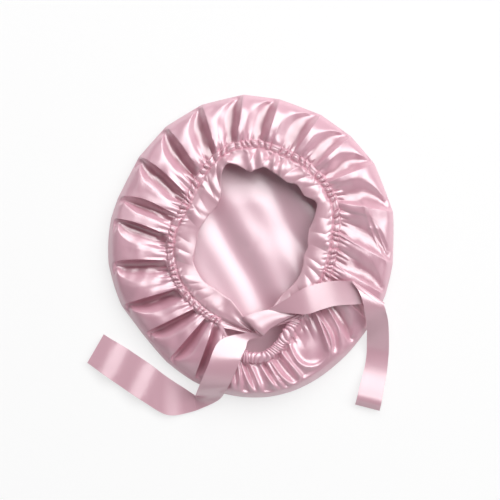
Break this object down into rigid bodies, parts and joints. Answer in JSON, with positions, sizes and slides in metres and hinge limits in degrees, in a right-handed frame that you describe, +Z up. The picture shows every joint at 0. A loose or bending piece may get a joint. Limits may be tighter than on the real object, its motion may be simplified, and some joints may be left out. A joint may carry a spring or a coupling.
{
  "type": "silk bonnet",
  "caption": "Round satin sleep bonnet lying on its crown, mouth up: gathered side, brow band whose ends are tied in a half knot over an elastic nape.",
  "frame": {"origin": "middle of the crown on the surface it lies on", "axes": "+Z up out of the mouth, +Y from nape to brow, +X to the right in the picture"},
  "size_m": [0.3378, 0.3557, 0.0355],
  "materials": {
    "shell_satin": "glossy satin",
    "lining_satin": "glossy satin",
    "band_satin": "glossy satin",
    "elastic": "covered elastic",
    "thread": "sewing thread"
  },
  "bodies": {
    "bonnet": {"crown_shell": "shell_satin", "crown_lining": "lining_satin", "tie_band": "band_satin", "front_elastic": "elastic", "gather_thread": "thread", "nape_casing": "shell_satin", "nape_elastic": "elastic", "nape_thread": "thread", "left_bartack": "thread", "right_bartack": "thread", "left_band_end": "band_satin", "right_band_end": "band_satin", "knot_wrap": "band_satin"},
    "left_tie": {"left_tie": "band_satin"},
    "left_tail": {"left_tail": "band_satin", "left_hem_thread": "thread"},
    "right_tie": {"right_tie": "band_satin"},
    "right_tail": {"right_tail": "band_satin", "right_hem_thread": "thread"}
  },
  "joints": [
    {"name": "left_tie_lift", "type": "hinge", "parent": "bonnet", "child": "left_tie", "pos_m": [-0.0157, -0.10261, 0.03072], "axis": [-0.9962, -0.0872, 0], "range_deg": [0, 120]},
    {"name": "left_tail_lift", "type": "hinge", "parent": "left_tie", "child": "left_tail", "pos_m": [-0.08831, -0.17247, 0.001], "axis": [0.5588, 0.8293, 0], "range_deg": [0, 110]},
    {"name": "right_tie_lift", "type": "hinge", "parent": "bonnet", "child": "right_tie", "pos_m": [0.03103, -0.07309, 0.0347], "axis": [0.7071, -0.7071, 0], "range_deg": [0, 120]},
    {"name": "right_tail_lift", "type": "hinge", "parent": "right_tie", "child": "right_tail", "pos_m": [0.13653, -0.0773, 0.02517], "axis": [-1, 0, 0], "range_deg": [0, 110]}
  ]
}
